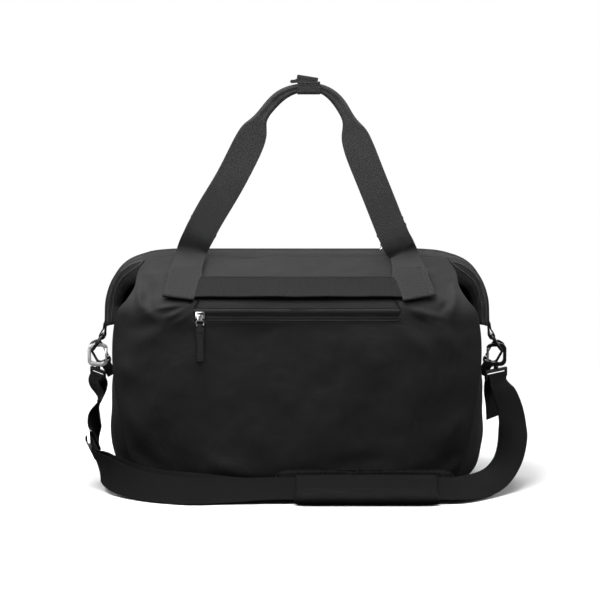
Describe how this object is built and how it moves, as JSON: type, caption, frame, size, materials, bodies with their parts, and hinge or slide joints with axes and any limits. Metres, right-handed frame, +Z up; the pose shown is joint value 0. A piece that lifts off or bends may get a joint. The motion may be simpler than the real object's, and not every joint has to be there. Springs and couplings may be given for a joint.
{
  "type": "weekender bag",
  "caption": "Large soft travel bag with folded-in ends, carry handles joined by a keeper, a zipped front pocket and an adjustable shoulder strap with a sliding pad.",
  "frame": {"origin": "centre of the bag's underside, on the surface it stands on", "axes": "+X towards the bag's right end as seen from the front, +Y towards its back, +Z up; the pocket faces -Y"},
  "size_m": [0.5853, 0.2977, 0.5367],
  "materials": {
    "shell_cloth": "matte plain-woven nylon",
    "webbing": "matte ribbed webbing",
    "lining_cloth": "satin lining",
    "pad_cloth": "matte padded cloth",
    "board": "matte sheet",
    "zip_coil": "matte nylon coil",
    "black_metal": "black semi-gloss",
    "pale_metal": "bright satin"
  },
  "bodies": {
    "bag": {"front_panel": "shell_cloth", "back_panel": "shell_cloth", "left_gusset": "shell_cloth", "right_gusset": "shell_cloth", "base_panel": "shell_cloth", "base_board": "board", "lining": "lining_cloth", "top_panel_front": "shell_cloth", "top_panel_back": "shell_cloth", "main_zip_tape_front": "webbing", "main_zip_tape_back": "webbing", "main_zip_coil": "zip_coil", "pocket_zip_tape_upper": "webbing", "pocket_zip_tape_lower": "webbing", "pocket_zip_coil": "zip_coil", "pocket_bag": "lining_cloth", "front_band": "webbing", "back_band": "webbing", "front_patch_left": "webbing", "front_patch_right": "webbing", "back_patch_left": "webbing", "back_patch_right": "webbing", "left_ear_tab": "webbing", "left_d_ring": "black_metal", "left_hold_tab": "webbing", "left_hold_hook": "black_metal", "right_ear_tab": "webbing", "right_d_ring": "black_metal", "right_hold_tab": "webbing", "right_hold_hook": "black_metal"},
    "pocket_slider": {"pocket_slider": "pale_metal"},
    "pocket_link": {"pocket_link": "pale_metal"},
    "pocket_pull": {"pocket_pull": "webbing"},
    "main_left_slider": {"main_left_slider": "pale_metal"},
    "main_left_link": {"main_left_link": "pale_metal"},
    "main_left_pull": {"main_left_pull": "webbing"},
    "main_right_slider": {"main_right_slider": "pale_metal"},
    "main_right_link": {"main_right_link": "pale_metal"},
    "main_right_pull": {"main_right_pull": "webbing"},
    "front_handle": {"front_handle": "webbing", "keeper_wrap": "webbing"},
    "keeper_flap": {"keeper_flap": "webbing", "keeper_tab": "webbing", "keeper_snap": "black_metal"},
    "back_handle": {"back_handle": "webbing"},
    "shoulder_strap": {"strap_webbing": "webbing", "strap_second_layer": "webbing", "strap_adjuster": "black_metal", "left_hook_base": "black_metal", "right_hook_base": "black_metal", "left_strap_hook": "pale_metal", "right_strap_hook": "black_metal"},
    "shoulder_pad": {"shoulder_pad": "pad_cloth", "pad_sleeve": "pad_cloth"},
    "left_strap_gate": {"left_strap_gate": "pale_metal"},
    "right_strap_gate": {"right_strap_gate": "pale_metal"},
    "left_hold_gate": {"left_hold_gate": "pale_metal"},
    "right_hold_gate": {"right_hold_gate": "pale_metal"}
  },
  "joints": [
    {"name": "pocket_slide", "type": "slide", "parent": "bag", "child": "pocket_slider", "axis": [1, 0, 0], "range_m": [0, 0.248]},
    {"name": "pocket_link_swing", "type": "hinge", "parent": "pocket_slider", "child": "pocket_link", "pos_m": [-0.124, -0.11195, 0.2335], "axis": [-1, 0, 0], "range_deg": [0, 100]},
    {"name": "pocket_pull_swing", "type": "hinge", "parent": "pocket_link", "child": "pocket_pull", "pos_m": [-0.124, -0.11215, 0.2213], "axis": [-1, 0, 0], "range_deg": [0, 60]},
    {"name": "main_left_slide", "type": "slide", "parent": "bag", "child": "main_left_slider", "axis": [-1, 0, 0], "range_m": [0, 0.27]},
    {"name": "main_left_link_swing", "type": "hinge", "parent": "main_left_slider", "child": "main_left_link", "pos_m": [0.116, 0, 0.31005], "axis": [1, 0, 0], "range_deg": [0, 90]},
    {"name": "main_left_pull_swing", "type": "hinge", "parent": "main_left_link", "child": "main_left_pull", "pos_m": [0.116, 0.0122, 0.31025], "axis": [1, 0, 0], "range_deg": [0, 60]},
    {"name": "main_right_slide", "type": "slide", "parent": "bag", "child": "main_right_slider", "axis": [1, 0, 0], "range_m": [0, 0.022]},
    {"name": "main_right_link_swing", "type": "hinge", "parent": "main_right_slider", "child": "main_right_link", "pos_m": [0.134, 0, 0.31005], "axis": [1, 0, 0], "range_deg": [0, 90]},
    {"name": "main_right_pull_swing", "type": "hinge", "parent": "main_right_link", "child": "main_right_pull", "pos_m": [0.134, 0.0122, 0.31025], "axis": [1, 0, 0], "range_deg": [0, 60]},
    {"name": "front_handle_swing", "type": "hinge", "parent": "bag", "child": "front_handle", "pos_m": [0, -0.058, 0.2915], "axis": [1, 0, 0], "range_deg": [0, 110]},
    {"name": "back_handle_swing", "type": "hinge", "parent": "bag", "child": "back_handle", "pos_m": [0, 0.058, 0.2915], "axis": [-1, 0, 0], "range_deg": [0, 110]},
    {"name": "keeper_flap_open", "type": "hinge", "parent": "front_handle", "child": "keeper_flap", "pos_m": [0.0155, -0.0124, 0.5256], "axis": [1, 0, 0], "range_deg": [0, 120]},
    {"name": "strap_swing", "type": "hinge", "parent": "bag", "child": "shoulder_strap", "pos_m": [0, 0, 0.18395], "axis": [-1, 0, 0], "range_deg": [0, 60]},
    {"name": "pad_slide", "type": "slide", "parent": "shoulder_strap", "child": "shoulder_pad", "axis": [1, 0, 0], "range_m": [-0.02, 0.002]},
    {"name": "left_strap_gate", "type": "hinge", "parent": "shoulder_strap", "child": "left_strap_gate", "pos_m": [-0.25435, 0, 0.1569], "axis": [0, 1, 0], "range_deg": [0, 20], "stiffness_Nm_per_rad": 0.02, "springref_deg": -11.46},
    {"name": "right_strap_gate", "type": "hinge", "parent": "shoulder_strap", "child": "right_strap_gate", "pos_m": [0.25435, 0, 0.1569], "axis": [0, -1, 0], "range_deg": [0, 20], "stiffness_Nm_per_rad": 0.02, "springref_deg": -11.46},
    {"name": "left_hold_gate", "type": "hinge", "parent": "bag", "child": "left_hold_gate", "pos_m": [-0.25275, 0.0088, 0.16248], "axis": [0, 1, 0], "range_deg": [0, 18], "stiffness_Nm_per_rad": 0.02, "springref_deg": -11.46},
    {"name": "right_hold_gate", "type": "hinge", "parent": "bag", "child": "right_hold_gate", "pos_m": [0.25275, 0.0088, 0.16248], "axis": [0, -1, 0], "range_deg": [0, 18], "stiffness_Nm_per_rad": 0.02, "springref_deg": -11.46}
  ]
}
